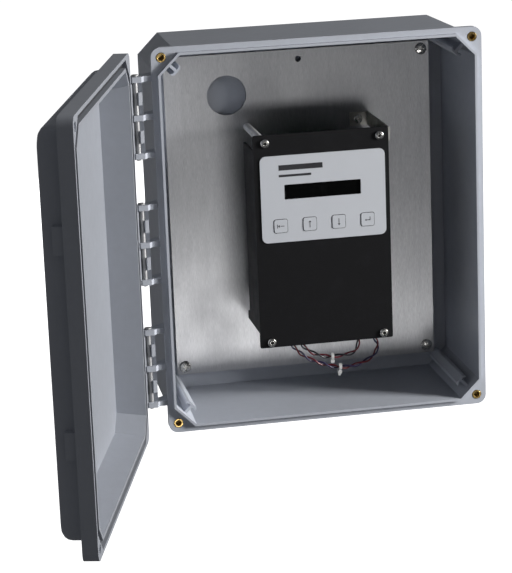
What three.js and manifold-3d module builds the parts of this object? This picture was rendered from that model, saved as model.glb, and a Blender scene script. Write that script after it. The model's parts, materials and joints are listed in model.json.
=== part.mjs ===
// Hinged wall enclosure with a display and keypad unit on its back plate.
// Millimetres. X is right, Y goes into the wall, Z is up. The origin is the centre of the wall side.
import * as THREE from "three";
import { mergeVertices } from "three/addons/utils/BufferGeometryUtils.js";
import Module from "manifold-3d";

const wasm = await Module();
wasm.setup();

// ---- driving dimensions ----

const GAP = 0.3; // air between pieces that touch on the real object

// case
const RIM_WIDTH = 281;
const RIM_HEIGHT = 332;
const RIM_RADIUS = 8;
const RIM_THICKNESS = 5;
const BASE_DEPTH = 101;
const RIM_Y = -BASE_DEPTH;
const BACK_WALL = 3.6;
const BODY_INSET = 1.3; // body side behind the rim edge, at the rim
const BODY_CHAMFER = 17.8;
const BODY_DRAFT = 1.4; // how much each outer side leans in from rim to wall
const TONGUE_HEIGHT = 3.5;
const TONGUE_WIDTH = 2.2;
const TONGUE_INSET = 7.1; // rim edge to the tongue's inner face
const TONGUE_CHAMFER = 16.4;
const CAVITY_DRAFT = 2.2;
const INSERT_INSET = 8.4;
const INSERT_RADIUS = 3.9;
const INSERT_LENGTH = 9;
const INSERT_BORE = 2.5;
const INSERT_FLOOR = 1.5; // closed end of the insert
const BOSS_RADIUS = 6.2;
const BOSS_LENGTH = 15;
const RAIL_HEIGHT = 10;
const RAIL_HEAD_WIDTH = 10.6;
const RAIL_HEAD_THICKNESS = 1.9;
const RAIL_LIP = 1.6; // how far the edges of the rail head turn back
const RAIL_STEM_WIDTH = 2.4;
const RAIL_END = 5; // rail end behind the rim

// hinge
const HINGE_X = -RIM_WIDTH / 2 - 13.8;
const HINGE_Y = RIM_Y + 1;
const HINGE_GROUP_PITCH = 107.8;
const HINGE_CENTRE_Z = 1.1;
const EAR_PITCH = 32;
const EAR_THICKNESS = 4.7;
const EAR_RADIUS = 4.2;
const EAR_DEPTH = 18;
const EAR_ROOT = 7.3; // from the pin to the foot of the step in the ear's front face
const EAR_LAND = 4.9; // from the pin to the head of that step
const EAR_CORNER = 1.6;
const PIN_RADIUS = 2;
const PIN_END = 1.4; // pin beyond the outer ear
const PIN_HEAD_RADIUS = 3;
const PIN_HEAD_HEIGHT = 1.2;
const KNUCKLE_HEIGHT = 26;
const KNUCKLE_WALL = 3.4;
const KNUCKLE_RADIUS = PIN_RADIUS + GAP + KNUCKLE_WALL;
const HOOK_HEIGHT = 10.6;
const HOOK_REACH = 3.5; // hook tip beyond the pin's centre
const HOOK_EDGE = 0.8; // thickness left at the tip of the hook
const HOOK_CREST = 0.5; // where the hook starts to slope towards its tip
const DOOR_OPEN_DEG = 105.9;

// door
const DOOR_Y = RIM_Y - 0.4;
const SKIRT_THICKNESS = 12;
const DOOR_DEPTH = 29;
const DOME_INSET = 10;
const DOME_RADIUS = 8;
const DOME_CORNER = 16;
const FLOOR_DEPTH = 24.5;
const CHANNEL_DEPTH = 6.8;
const CHANNEL_OUTER_CLEARANCE = 1.8;
const CHANNEL_INNER_CLEARANCE = 2.2;
const INNER_LIP = 3;
const RECESS_DRAFT = 4;
const GASKET_TOP = 3.5;
const LATCH_PAD_Z = 76.5;
const LATCH_PAD_HEIGHT = 21;
const LATCH_PAD_WIDTH = 6;
const LATCH_PAD_DEPTH = 8.5;
const DOOR_SCREW_SEAT = { radius: 5, depth: 3.6 };
const DOOR_SCREW = {
  headRadius: 4.4,
  headHeight: 3,
  shankRadius: 2,
  shankLength: SKIRT_THICKNESS - 1 - DOOR_SCREW_SEAT.depth,
};
const DOOR_SCREW_HOLE = 2.5;
const INSERT_POCKET = 1.5; // shallow seat in the door that clears each insert

// back plate
const PLATE_WIDTH = 236;
const PLATE_HEIGHT = 285;
const PLATE_THICKNESS = 1.6;
const PLATE_FRONT_Y = -11.6;
const PLATE_BACK_Y = PLATE_FRONT_Y + PLATE_THICKNESS;
const PLATE_CORNER = 1.5;
const PLATE_SCREW_X = 110.9;
const PLATE_SCREW_Z = 135.5;
const PLATE_SCREW = { headRadius: 5.2, headHeight: 2.8, shankRadius: 2, shankLength: 7 };
const PLATE_SCREW_HOLE = 2.4;
const CABLE_HOLE = { x: -63.4, z: 106.2, radius: 17.4 };
const SMALL_HOLE = { x: 1, z: 134, radius: 2.7 };

// display unit
const COVER_CENTRE_X = 2;
const COVER_WIDTH = 117;
const COVER_TOP = 84.4;
const COVER_BOTTOM = -101.2;
const COVER_CORNER = 1.2;
const COVER_FRONT_Y = -91.2;
const COVER_THICKNESS = 2;
const COVER_BACK_Y = COVER_FRONT_Y + COVER_THICKNESS;
const FLANGE_INSET = 1.6;
const FLANGE_TOP = 69;
const FLANGE_BOTTOM = -90.5;
const FLANGE_BACK_Y = -37;
const FLANGE_TAB = { depth: 8, height: 7 };
const COVER_SCREW_HALF_X = 49.5;
const COVER_SCREW_CENTRE_X = 3;
const COVER_SCREW_TOP = 77.5;
const COVER_SCREW_BOTTOM = -96.5;
const COVER_SCREW = { headRadius: 3.8, headHeight: 2.2, shankRadius: 2, shankLength: 9 };
const COVER_SCREW_HOLE = 2.3;
const FIXING_HOLE = 1.9; // in the back plate, each standoff and the bracket foot
const STANDOFF_RADIUS = 3.4;
const STANDOFF_BORE_FRONT = 12;
const STANDOFF_BORE_REAR = 9;
const STANDOFF_SCREW = { headRadius: 3.2, headHeight: 2, shankRadius: 1.6, shankLength: 8 };
const BRACKET_SCREW = { headRadius: 3.9, headHeight: 2.3, shankRadius: 1.6, shankLength: 6 };
const BRACKET_WIDTH = 12;
const BRACKET_THICKNESS = 1.5;
const BRACKET_REACH = 17;
const LABEL = { x: 2.6, z: 28.8, width: 108.2, height: 75, radius: 5, thickness: 0.6 };
const WINDOW = { x: 2.1, z: 34.6, width: 66.3, height: 12.8 };
const KEY_SIZE = 11.3;
const KEY_PITCH = 25.2;
const KEY_Z = 5.5;
const KEY_NAMES = ["escape", "up", "down", "enter"];
const KEY_CORNER = 1.6;
const KEY_THICKNESS = 0.7;
const KEY_TRAVEL = 0.4;
const KEY_STEM_RADIUS = 2.8;
const KEY_STEM_HOLE = 3.4;
const KEY_STEM_END = 6.8; // in front of the board
const SWITCH_SIZE = 6.2;
const SWITCH_DEPTH = 3.6;
const PLUNGER_RADIUS = 1.7;
const MODULE_FRAME = { width: 71.5, height: 24.5, depth: 7 };
const MODULE_CARRIER = { width: 80, height: 36, back: 8.6, thickness: 2 };
const BOARD_FRONT_Y = -76.6;
const BOARD_THICKNESS = 1.6;
const BOARD = { x: 2, z: -9, width: 100, height: 150 };
const BOARD_BACK_Y = BOARD_FRONT_Y + BOARD_THICKNESS;
const PROCESSOR = { x: 0, z: 0, size: 16, rise: 2 };
const TRANSFORMER = { x: 29, z: 41, size: 22, rise: 15 };
const CAPACITOR = { x: -36, z: 45, radius: 5, rise: 13, pitch: 13 };
const SOLDER_DEPTH = 0.5; // how far each board part is let into the board
const SPACER_RADIUS = 2.6;
const SPACER_INSET = 5;
const TERMINAL = { width: 22, height: 12, depth: 12, leftX: -24, rightX: 39.5 };
const TERMINAL_SCREW = { radius: 1.9, z: 7, front: 9, back: 13, pitch: 5 };

// wiring
const WIRE_RADIUS = 0.75;
const PAIR_RADIUS = 1.15; // wire centre from the middle of its twisted pair
const TWIST_PITCH = 22;
const WIRE_STEP = 3.8;
const TIE_THICKNESS = 1.1;
const TIE_WIDTH = 2.6;
const TIE_HEAD = { width: 4, length: 3.4, rise: 2.2 };

const CORNERS = [
  { name: "top_left", sx: -1, sz: 1 },
  { name: "top_right", sx: 1, sz: 1 },
  { name: "bottom_right", sx: 1, sz: -1 },
  { name: "bottom_left", sx: -1, sz: -1 },
];

// ---- materials ----

function material(color, roughness, metalness) {
  return new THREE.MeshStandardMaterial({ color, roughness, metalness });
}

const caseGrey = material(0xa3a8b0, 0.5, 0);
const gasketBlack = material(0x2b2d33, 0.9, 0);
const brushedMetal = material(0x9a9a9a, 0.35, 0.9);
const screwSteel = material(0xb9b9b4, 0.3, 0.9);
const brass = material(0xb08d4a, 0.35, 0.9);
const coverBlack = material(0x2e2f33, 0.6, 0.1);
const labelPale = material(0xdfe1e3, 0.45, 0);
const keyPale = material(0xe4e6e8, 0.45, 0);
const lensBlack = material(0x0b0b0d, 0.1, 0);
const boardGreen = material(0x1f5a3a, 0.5, 0.1);
const moduleGrey = material(0x55585c, 0.4, 0.6);
const terminalGreen = material(0x3c8a58, 0.5, 0);
const nylonWhite = material(0xe8e8e4, 0.5, 0);
const wireRed = material(0x8c2a2a, 0.5, 0);
const wireBlack = material(0x1d1d22, 0.5, 0);
const wireViolet = material(0x4a4668, 0.5, 0);

// ---- solid helpers ----

function toSolid(geometry) {
  const bare = geometry.clone();
  bare.deleteAttribute("normal");
  bare.deleteAttribute("uv");
  const merged = mergeVertices(bare, 1e-4);
  return new wasm.Manifold(new wasm.Mesh({
    numProp: 3,
    vertProperties: new Float32Array(merged.attributes.position.array),
    triVerts: new Uint32Array(merged.index.array),
  }));
}

function toGeometry(solid) {
  const mesh = solid.getMesh();
  const geometry = new THREE.BufferGeometry();
  geometry.setAttribute("position", new THREE.BufferAttribute(mesh.vertProperties, 3));
  geometry.setIndex(new THREE.BufferAttribute(mesh.triVerts, 1));
  geometry.computeVertexNormals();
  return geometry;
}

function combine(added, removed = []) {
  let solid = toSolid(added[0]);
  for (const geometry of added.slice(1)) {
    solid = solid.add(toSolid(geometry));
  }
  for (const geometry of removed) {
    solid = solid.subtract(toSolid(geometry));
  }
  return toGeometry(solid);
}

function octagon(halfWidth, halfHeight, chamfer) {
  const shape = new THREE.Shape();
  shape.moveTo(halfWidth - chamfer, -halfHeight);
  shape.lineTo(halfWidth, -halfHeight + chamfer);
  shape.lineTo(halfWidth, halfHeight - chamfer);
  shape.lineTo(halfWidth - chamfer, halfHeight);
  shape.lineTo(-halfWidth + chamfer, halfHeight);
  shape.lineTo(-halfWidth, halfHeight - chamfer);
  shape.lineTo(-halfWidth, -halfHeight + chamfer);
  shape.lineTo(-halfWidth + chamfer, -halfHeight);
  shape.closePath();
  return shape;
}

// The sealing line is the tongue's inner octagon, and the channel and gasket are offset from it.
function sealOctagon(offset) {
  const halfWidth = RIM_WIDTH / 2 - TONGUE_INSET + offset;
  const halfHeight = RIM_HEIGHT / 2 - TONGUE_INSET + offset;
  return octagon(halfWidth, halfHeight, TONGUE_CHAMFER + offset * (2 - Math.SQRT2));
}

function roundedRectangle(width, height, radius, x = 0, z = 0) {
  const right = x + width / 2;
  const top = z + height / 2;
  const left = x - width / 2;
  const bottom = z - height / 2;
  const shape = new THREE.Shape();
  shape.absarc(right - radius, bottom + radius, radius, -Math.PI / 2, 0);
  shape.absarc(right - radius, top - radius, radius, 0, Math.PI / 2);
  shape.absarc(left + radius, top - radius, radius, Math.PI / 2, Math.PI);
  shape.absarc(left + radius, bottom + radius, radius, Math.PI, Math.PI * 1.5);
  shape.closePath();
  return shape;
}

// A flat piece: an outline in X and Z, from yBack towards the front.
function slab(shape, yBack, depth, curveSegments = 3) {
  const options = { depth, bevelEnabled: false, curveSegments };
  return new THREE.ExtrudeGeometry(shape, options).rotateX(Math.PI / 2).translate(0, yBack, 0);
}

// Moves every side inwards, from nothing at yFull to the whole inset at yInset.
function taper(geometry, yFull, yInset, inset) {
  const position = geometry.attributes.position;
  for (let i = 0; i < position.count; i += 1) {
    const lean = inset * (position.getY(i) - yFull) / (yInset - yFull);
    position.setX(i, position.getX(i) - Math.sign(position.getX(i)) * lean);
    position.setZ(i, position.getZ(i) - Math.sign(position.getZ(i)) * lean);
  }
  return geometry;
}

function block(x0, x1, y0, y1, z0, z1) {
  const box = new THREE.BoxGeometry(x1 - x0, y1 - y0, z1 - z0);
  return box.translate((x0 + x1) / 2, (y0 + y1) / 2, (z0 + z1) / 2);
}

function rodY(radius, y0, y1, x, z, sides = 20) {
  return new THREE.CylinderGeometry(radius, radius, y1 - y0, sides).translate(x, (y0 + y1) / 2, z);
}

function rodZ(radius, z0, z1, x, y, sides = 20) {
  const rod = new THREE.CylinderGeometry(radius, radius, z1 - z0, sides).rotateX(Math.PI / 2);
  return rod.translate(x, y, (z0 + z1) / 2);
}

// ---- assembly ----

const group = new THREE.Group();
const doorGroup = new THREE.Group();
group.add(doorGroup);

function place(name, geometry, look, parent = group) {
  const mesh = new THREE.Mesh(geometry, look);
  mesh.name = name;
  parent.add(mesh);
  return mesh;
}

// ---- case ----

function insertCentre(corner) {
  const x = corner.sx * (RIM_WIDTH / 2 - INSERT_INSET);
  const z = corner.sz * (RIM_HEIGHT / 2 - INSERT_INSET);
  return { x, z };
}

function cornerRail(corner) {
  const stem = RAIL_STEM_WIDTH / 2;
  const head = RAIL_HEAD_WIDTH / 2;
  const headRoot = -RAIL_HEIGHT + RAIL_HEAD_THICKNESS;
  const lipEnd = headRoot + RAIL_LIP;
  const lipInner = head - RAIL_HEAD_THICKNESS;
  const shape = new THREE.Shape();
  shape.moveTo(-stem, 1);
  shape.lineTo(-stem, headRoot);
  shape.lineTo(-lipInner, headRoot);
  shape.lineTo(-head, lipEnd);
  shape.lineTo(-head, -RAIL_HEIGHT + RAIL_LIP);
  shape.lineTo(-lipInner, -RAIL_HEIGHT);
  shape.lineTo(lipInner, -RAIL_HEIGHT);
  shape.lineTo(head, -RAIL_HEIGHT + RAIL_LIP);
  shape.lineTo(head, lipEnd);
  shape.lineTo(lipInner, headRoot);
  shape.lineTo(stem, headRoot);
  shape.lineTo(stem, 1);
  shape.closePath();
  const x = corner.sx * (RIM_WIDTH / 2 - TONGUE_INSET - TONGUE_CHAMFER / 2);
  const z = corner.sz * (RIM_HEIGHT / 2 - TONGUE_INSET - TONGUE_CHAMFER / 2);
  const rail = slab(shape, -BACK_WALL + 1, BASE_DEPTH - RAIL_END - BACK_WALL + 1);
  return rail.rotateY(Math.atan2(corner.sx, corner.sz)).translate(x, 0, z);
}

function hingeGroups() {
  return [1, 0, -1].map((step) => HINGE_CENTRE_Z + step * HINGE_GROUP_PITCH);
}

function hingeEar(z) {
  const bodySide = -RIM_WIDTH / 2 + 3;
  const shape = new THREE.Shape();
  shape.moveTo(bodySide, RIM_Y + EAR_DEPTH);
  shape.lineTo(bodySide, RIM_Y + RIM_THICKNESS / 2);
  shape.lineTo(-RIM_WIDTH / 2 - 1, RIM_Y + GAP);
  shape.lineTo(HINGE_X + EAR_ROOT, RIM_Y + GAP);
  shape.lineTo(HINGE_X + EAR_LAND, HINGE_Y - EAR_RADIUS);
  const cornerX = HINGE_X - EAR_RADIUS + EAR_CORNER;
  shape.absarc(cornerX, HINGE_Y - EAR_RADIUS + EAR_CORNER, EAR_CORNER, -Math.PI / 2, -Math.PI, true);
  shape.absarc(HINGE_X, HINGE_Y, EAR_RADIUS, -Math.PI, -Math.PI * 1.5, true);
  shape.closePath();
  const hole = new THREE.Path();
  hole.absarc(HINGE_X, HINGE_Y, PIN_RADIUS + GAP, 0, Math.PI * 2);
  shape.holes.push(hole);
  const options = { depth: EAR_THICKNESS, bevelEnabled: false, curveSegments: 6 };
  return new THREE.ExtrudeGeometry(shape, options).translate(0, 0, z - EAR_THICKNESS / 2);
}

function enclosureBase() {
  const halfWidth = RIM_WIDTH / 2 - BODY_INSET;
  const halfHeight = RIM_HEIGHT / 2 - BODY_INSET;
  const body = slab(octagon(halfWidth, halfHeight, BODY_CHAMFER), 0, BASE_DEPTH);
  const rimOutline = roundedRectangle(RIM_WIDTH, RIM_HEIGHT, RIM_RADIUS);
  const rim = slab(rimOutline, RIM_Y + RIM_THICKNESS, RIM_THICKNESS);
  const tongue = slab(sealOctagon(TONGUE_WIDTH), RIM_Y + 1, TONGUE_HEIGHT + 1);
  const cavityDepth = BASE_DEPTH + TONGUE_HEIGHT + 1 - BACK_WALL;
  const cavity = taper(slab(sealOctagon(0), -BACK_WALL, cavityDepth), RIM_Y, -BACK_WALL, CAVITY_DRAFT);
  const shell = [taper(body, RIM_Y, 0, BODY_DRAFT), rim, tongue];
  const holes = [];
  const inside = [];
  for (const corner of CORNERS) {
    const { x, z } = insertCentre(corner);
    shell.push(rodY(BOSS_RADIUS, RIM_Y + 0.5, RIM_Y + BOSS_LENGTH, x, z));
    holes.push(rodY(INSERT_RADIUS + GAP, RIM_Y - 1, RIM_Y + INSERT_LENGTH + GAP, x, z));
    const screwX = corner.sx * PLATE_SCREW_X;
    const screwZ = corner.sz * PLATE_SCREW_Z;
    inside.push(rodY(BOSS_RADIUS, PLATE_BACK_Y + GAP, -BACK_WALL + 1, screwX, screwZ));
    inside.push(cornerRail(corner));
    holes.push(rodY(PLATE_SCREW_HOLE, PLATE_BACK_Y, -BACK_WALL - GAP, screwX, screwZ));
  }
  for (const centre of hingeGroups()) {
    for (const step of [-1, 0, 1]) {
      shell.push(hingeEar(centre + step * EAR_PITCH));
    }
  }
  const hollow = combine(shell, [cavity]);
  return combine([hollow, ...inside], holes);
}

function threadedInsert(corner) {
  const { x, z } = insertCentre(corner);
  const sleeve = rodY(INSERT_RADIUS, RIM_Y - GAP, RIM_Y + INSERT_LENGTH, x, z);
  const bore = rodY(INSERT_BORE, RIM_Y - 1, RIM_Y + INSERT_LENGTH - INSERT_FLOOR, x, z, 16);
  return combine([sleeve], [bore]);
}

function hingePin(centre) {
  const half = EAR_PITCH + EAR_THICKNESS / 2 + PIN_END;
  const shaft = rodZ(PIN_RADIUS, centre - half, centre + half, HINGE_X, HINGE_Y, 20);
  const headBottom = centre + EAR_PITCH + EAR_THICKNESS / 2 + GAP;
  const head = rodZ(PIN_HEAD_RADIUS, headBottom, headBottom + PIN_HEAD_HEIGHT, HINGE_X, HINGE_Y, 20);
  return combine([shaft, head]);
}

// ---- door, drawn closed ----

// An arm and a curved wall hold the pin from its far side, and a hook in the middle closes round it.
function doorKnuckle(z) {
  const z0 = z - KNUCKLE_HEIGHT / 2;
  const z1 = z + KNUCKLE_HEIGHT / 2;
  const inner = PIN_RADIUS + GAP;
  const outer = KNUCKLE_RADIUS;
  const arm = block(HINGE_X, -RIM_WIDTH / 2 + 1, HINGE_Y - outer, HINGE_Y - inner, z0, z1);
  const wall = combine(
    [rodZ(outer, z0, z1, HINGE_X, HINGE_Y, 24)],
    [
      rodZ(inner, z0 - 1, z1 + 1, HINGE_X, HINGE_Y),
      block(HINGE_X, HINGE_X + 2 * outer, HINGE_Y - 2 * outer, HINGE_Y + 2 * outer, z0 - 1, z1 + 1),
    ],
  );
  const hook = new THREE.Shape();
  hook.moveTo(-1, inner);
  hook.lineTo(HOOK_REACH, inner);
  hook.lineTo(HOOK_REACH, inner + HOOK_EDGE);
  hook.lineTo(HOOK_CREST, outer - GAP);
  hook.lineTo(-1, outer - GAP);
  hook.closePath();
  const tip = new THREE.ExtrudeGeometry(hook, { depth: HOOK_HEIGHT, bevelEnabled: false });
  tip.translate(HINGE_X, HINGE_Y, z - HOOK_HEIGHT / 2);
  return combine([arm, wall, tip]);
}

function doorDome() {
  const width = RIM_WIDTH - 2 * (DOME_INSET + DOME_RADIUS);
  const height = RIM_HEIGHT - 2 * (DOME_INSET + DOME_RADIUS);
  const outline = roundedRectangle(width, height, DOME_CORNER - DOME_RADIUS);
  const rise = DOOR_DEPTH - SKIRT_THICKNESS;
  const options = {
    depth: rise - DOME_RADIUS + 1,
    bevelEnabled: true,
    bevelThickness: DOME_RADIUS,
    bevelSize: DOME_RADIUS,
    bevelSegments: 4,
    curveSegments: 3,
  };
  const dome = new THREE.ExtrudeGeometry(outline, options).rotateX(Math.PI / 2);
  const rear = block(-RIM_WIDTH, RIM_WIDTH, 1, DOOR_DEPTH, -RIM_HEIGHT, RIM_HEIGHT);
  const front = toSolid(dome).subtract(toSolid(rear));
  return toGeometry(front).translate(0, DOOR_Y - SKIRT_THICKNESS, 0);
}

function doorRecess() {
  const mouth = sealOctagon(-CHANNEL_INNER_CLEARANCE - INNER_LIP);
  const floor = DOOR_Y - FLOOR_DEPTH;
  const pocket = taper(slab(mouth, DOOR_Y, FLOOR_DEPTH), DOOR_Y, floor, RECESS_DRAFT);
  return combine([slab(mouth, DOOR_Y + 1, 1 + GAP), pocket]);
}

function sealRing(outerOffset, innerOffset, yBack, depth) {
  const ring = sealOctagon(outerOffset);
  ring.holes.push(sealOctagon(innerOffset));
  return slab(ring, yBack, depth);
}

function latchPad(z) {
  const side = RIM_WIDTH / 2 - DOME_INSET;
  const back = DOOR_Y - SKIRT_THICKNESS;
  const half = LATCH_PAD_HEIGHT / 2;
  return block(side - 3, side + LATCH_PAD_WIDTH, back - LATCH_PAD_DEPTH, back + 1, z - half, z + half);
}

function doorShell() {
  const skirt = slab(roundedRectangle(RIM_WIDTH, RIM_HEIGHT, RIM_RADIUS), DOOR_Y, SKIRT_THICKNESS);
  const added = [skirt, doorDome(), latchPad(LATCH_PAD_Z), latchPad(-LATCH_PAD_Z)];
  for (const centre of hingeGroups()) {
    for (const step of [-0.5, 0.5]) {
      added.push(doorKnuckle(centre + step * EAR_PITCH));
    }
  }
  const outer = TONGUE_WIDTH + CHANNEL_OUTER_CLEARANCE;
  const channel = sealRing(outer, -CHANNEL_INNER_CLEARANCE, DOOR_Y + 1, CHANNEL_DEPTH + 1);
  const removed = [doorRecess(), channel];
  for (const corner of CORNERS.filter((candidate) => candidate.sx > 0)) {
    const { x, z } = insertCentre(corner);
    const front = DOOR_Y - SKIRT_THICKNESS;
    removed.push(rodY(DOOR_SCREW_HOLE, front - 1, DOOR_Y + 1, x, z, 16));
    removed.push(rodY(DOOR_SCREW_SEAT.radius, front - 1, front + DOOR_SCREW_SEAT.depth, x, z));
    removed.push(rodY(INSERT_RADIUS, DOOR_Y - INSERT_POCKET, DOOR_Y + 1, x, z));
  }
  return combine(added, removed);
}

function doorGasket() {
  const outer = TONGUE_WIDTH + CHANNEL_OUTER_CLEARANCE - GAP;
  const inner = -CHANNEL_INNER_CLEARANCE + GAP;
  return sealRing(outer, inner, DOOR_Y - GASKET_TOP, CHANNEL_DEPTH - GASKET_TOP - GAP);
}

// ---- screws: the head's underside is at y = 0 and the shank runs towards +Y ----

const CROWN_STEPS = 3;
const CROWN_EDGE = 0.35; // the rim of a crowned head, as a share of its height

function screwBlank({ headRadius, headHeight, shankRadius, shankLength }) {
  const profile = [new THREE.Vector2(0, -headHeight)];
  for (let i = 1; i <= CROWN_STEPS; i += 1) {
    const angle = (Math.PI / 2) * (i / CROWN_STEPS);
    const height = headHeight * (CROWN_EDGE + (1 - CROWN_EDGE) * Math.cos(angle));
    profile.push(new THREE.Vector2(headRadius * Math.sin(angle), -height));
  }
  profile.push(new THREE.Vector2(headRadius, 0));
  profile.push(new THREE.Vector2(shankRadius, 0));
  profile.push(new THREE.Vector2(shankRadius, shankLength));
  profile.push(new THREE.Vector2(0, shankLength));
  return new THREE.LatheGeometry(profile, 14);
}

function crossScrew(screw) {
  const arm = screw.headRadius * 0.55;
  const half = screw.headRadius * 0.13;
  const front = -screw.headHeight - 1;
  const floor = -screw.headHeight * CROWN_EDGE;
  const bars = [block(-arm, arm, front, floor, -half, half), block(-half, half, front, floor, -arm, arm)];
  return combine([screwBlank(screw)], bars);
}

function socketScrew(screw) {
  const front = -screw.headHeight - 1;
  const socket = rodY(screw.headRadius * 0.42, front, -screw.headHeight * CROWN_EDGE, 0, 0, 6);
  return combine([screwBlank(screw)], [socket]);
}

// ---- back plate ----

function backPlate() {
  const outline = roundedRectangle(PLATE_WIDTH, PLATE_HEIGHT, PLATE_CORNER);
  const front = PLATE_FRONT_Y - 1;
  const back = PLATE_BACK_Y + 1;
  const holes = [
    rodY(CABLE_HOLE.radius, front, back, CABLE_HOLE.x, CABLE_HOLE.z, 64),
    rodY(SMALL_HOLE.radius, front, back, SMALL_HOLE.x, SMALL_HOLE.z),
  ];
  for (const corner of CORNERS) {
    const x = corner.sx * PLATE_SCREW_X;
    const z = corner.sz * PLATE_SCREW_Z;
    const fixing = coverScrewPoint(corner);
    holes.push(rodY(PLATE_SCREW_HOLE, front, back, x, z, 16));
    holes.push(rodY(FIXING_HOLE, front, back, fixing.x, fixing.z, 16));
  }
  return combine([slab(outline, PLATE_BACK_Y, PLATE_THICKNESS)], holes);
}

// ---- display unit ----

function coverScrewPoint(corner) {
  const x = COVER_SCREW_CENTRE_X + corner.sx * COVER_SCREW_HALF_X;
  const z = corner.sz > 0 ? COVER_SCREW_TOP : COVER_SCREW_BOTTOM;
  return { x, z };
}

function keyCentres() {
  const first = WINDOW.x + 0.5 - KEY_PITCH * 1.5;
  return KEY_NAMES.map((name, index) => ({ name, x: first + index * KEY_PITCH }));
}

function coverFlange(side) {
  const outer = COVER_CENTRE_X + side * (COVER_WIDTH / 2 - FLANGE_INSET);
  const inner = outer - side * COVER_THICKNESS;
  const x0 = Math.min(outer, inner);
  const x1 = Math.max(outer, inner);
  const wall = block(x0, x1, COVER_BACK_Y - 1, FLANGE_BACK_Y, FLANGE_BOTTOM, FLANGE_TOP);
  const tabBack = FLANGE_BACK_Y + FLANGE_TAB.depth;
  const tabTop = FLANGE_BOTTOM + FLANGE_TAB.height;
  const tab = block(x0, x1, FLANGE_BACK_Y - 1, tabBack, FLANGE_BOTTOM, tabTop);
  return [wall, tab];
}

function displayCover() {
  const height = COVER_TOP - COVER_BOTTOM;
  const centreZ = (COVER_TOP + COVER_BOTTOM) / 2;
  const outline = roundedRectangle(COVER_WIDTH, height, COVER_CORNER, COVER_CENTRE_X, centreZ);
  const front = slab(outline, COVER_BACK_Y, COVER_THICKNESS, 1);
  const near = COVER_FRONT_Y - 1;
  const far = COVER_BACK_Y + 1;
  const window = roundedRectangle(WINDOW.width + 2, WINDOW.height + 2, 1, WINDOW.x, WINDOW.z);
  const removed = [slab(window, far, far - near, 1)];
  for (const corner of CORNERS) {
    const point = coverScrewPoint(corner);
    removed.push(rodY(COVER_SCREW_HOLE, near, far, point.x, point.z, 16));
  }
  for (const key of keyCentres()) {
    removed.push(rodY(KEY_STEM_HOLE, near, far, key.x, KEY_Z, 20));
  }
  return combine([front, ...coverFlange(-1), ...coverFlange(1)], removed);
}

function keypadLabel() {
  const outline = roundedRectangle(LABEL.width, LABEL.height, LABEL.radius, LABEL.x, LABEL.z);
  outline.holes.push(roundedRectangle(WINDOW.width, WINDOW.height, 0.8, WINDOW.x, WINDOW.z));
  for (const key of keyCentres()) {
    outline.holes.push(roundedRectangle(KEY_SIZE + 1, KEY_SIZE + 1, 2, key.x, KEY_Z));
  }
  return slab(outline, COVER_FRONT_Y - GAP, LABEL.thickness);
}

function displayLens() {
  const outline = roundedRectangle(WINDOW.width + 1.2, WINDOW.height + 1.2, 0.8, WINDOW.x, WINDOW.z);
  return slab(outline, COVER_BACK_Y - GAP, COVER_THICKNESS - 2 * GAP, 1);
}

function keyCap(centre) {
  const outline = roundedRectangle(KEY_SIZE, KEY_SIZE, KEY_CORNER, centre.x, KEY_Z);
  const cap = slab(outline, COVER_FRONT_Y - KEY_TRAVEL - GAP, KEY_THICKNESS, 2);
  const stem = rodY(KEY_STEM_RADIUS, COVER_FRONT_Y - 1, BOARD_FRONT_Y - KEY_STEM_END, centre.x, KEY_Z, 16);
  return combine([cap, stem]);
}

function keySwitch(centre) {
  const back = BOARD_FRONT_Y - GAP;
  const front = back - SWITCH_DEPTH;
  const half = SWITCH_SIZE / 2;
  const tip = BOARD_FRONT_Y - KEY_STEM_END + KEY_TRAVEL + GAP;
  const housing = block(centre.x - half, centre.x + half, front, back, KEY_Z - half, KEY_Z + half);
  return combine([housing, rodY(PLUNGER_RADIUS, tip, front + 1, centre.x, KEY_Z, 16)]);
}

function displayModule() {
  const front = COVER_BACK_Y + GAP;
  const frame = roundedRectangle(MODULE_FRAME.width, MODULE_FRAME.height, 0.8, WINDOW.x, WINDOW.z);
  const carrier = roundedRectangle(MODULE_CARRIER.width, MODULE_CARRIER.height, 0.8, WINDOW.x, WINDOW.z);
  return combine([
    slab(frame, front + MODULE_FRAME.depth, MODULE_FRAME.depth, 1),
    slab(carrier, front + MODULE_CARRIER.back, MODULE_CARRIER.thickness, 1),
  ]);
}

function boardBlock({ x, z, size, rise }) {
  const left = BOARD.x + x - size / 2;
  const bottom = BOARD.z + z - size / 2;
  return block(left, left + size, BOARD_BACK_Y - SOLDER_DEPTH, BOARD_BACK_Y + rise, bottom, bottom + size);
}

function boardCapacitor(index) {
  const x = BOARD.x + CAPACITOR.x + index * CAPACITOR.pitch;
  const z = BOARD.z + CAPACITOR.z;
  return rodY(CAPACITOR.radius, BOARD_BACK_Y - SOLDER_DEPTH, BOARD_BACK_Y + CAPACITOR.rise, x, z, 20);
}

function controllerBoard() {
  const outline = roundedRectangle(BOARD.width, BOARD.height, 2, BOARD.x, BOARD.z);
  const sheet = slab(outline, BOARD_BACK_Y, BOARD_THICKNESS, 1);
  const parts = [boardBlock(PROCESSOR), boardBlock(TRANSFORMER), boardCapacitor(0), boardCapacitor(1)];
  return combine([sheet, ...parts]);
}

function boardSpacer(corner) {
  const x = BOARD.x + corner.sx * (BOARD.width / 2 - SPACER_INSET);
  const z = BOARD.z + corner.sz * (BOARD.height / 2 - SPACER_INSET);
  return rodY(SPACER_RADIUS, COVER_BACK_Y + GAP, BOARD_FRONT_Y - GAP, x, z, 16);
}

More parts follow.
